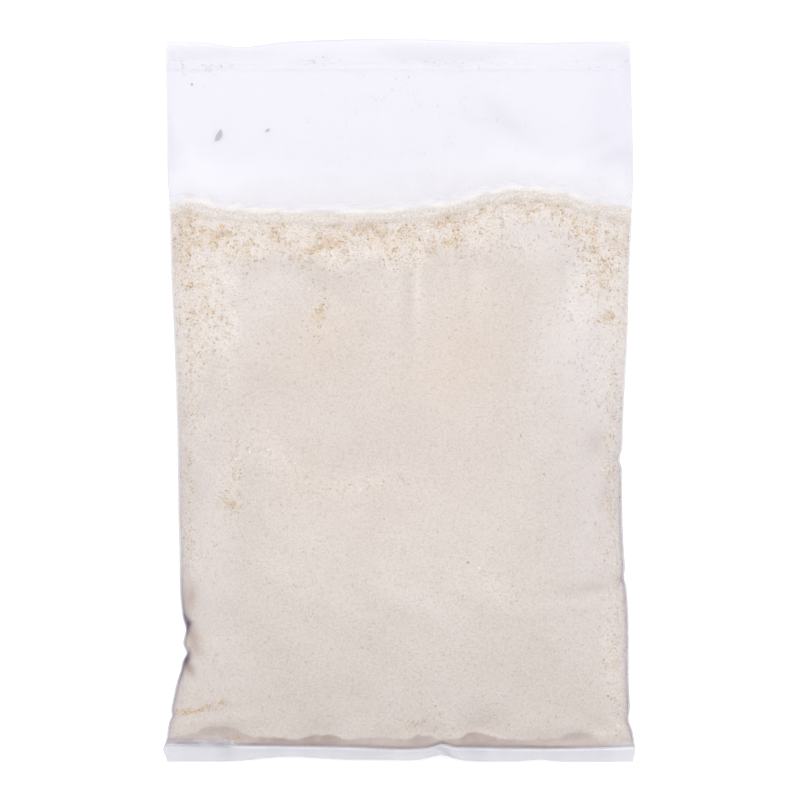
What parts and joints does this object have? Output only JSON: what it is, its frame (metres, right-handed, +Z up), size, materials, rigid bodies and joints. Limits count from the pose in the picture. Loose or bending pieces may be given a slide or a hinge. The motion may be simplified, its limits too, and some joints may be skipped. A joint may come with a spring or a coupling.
{
  "type": "bag of breadcrumbs",
  "caption": "Clear film pillow bag of fine white breadcrumbs, heat-sealed across each end, lying on its back with the crumbs settled towards the lower seal.",
  "frame": {"origin": "on the surface that the bag lies on, under the middle of its outline", "axes": "+X across the bag, towards the right side of its front face; +Y along the bag, towards its upper seal; +Z up, out of the front face"},
  "size_m": [0.2408, 0.3702, 0.049],
  "materials": {
    "filled_film": "clear film pressed against pale cream crumbs",
    "clear_film": "thin clear film, soft gloss, faint cool haze",
    "white_crumbs": "dry porous breadcrumb, matte",
    "toasted_crumbs": "golden toasted crust crumb, matte"
  },
  "bodies": {
    "root": {"crumb_bag": "filled_film"}
  },
  "joints": []
}
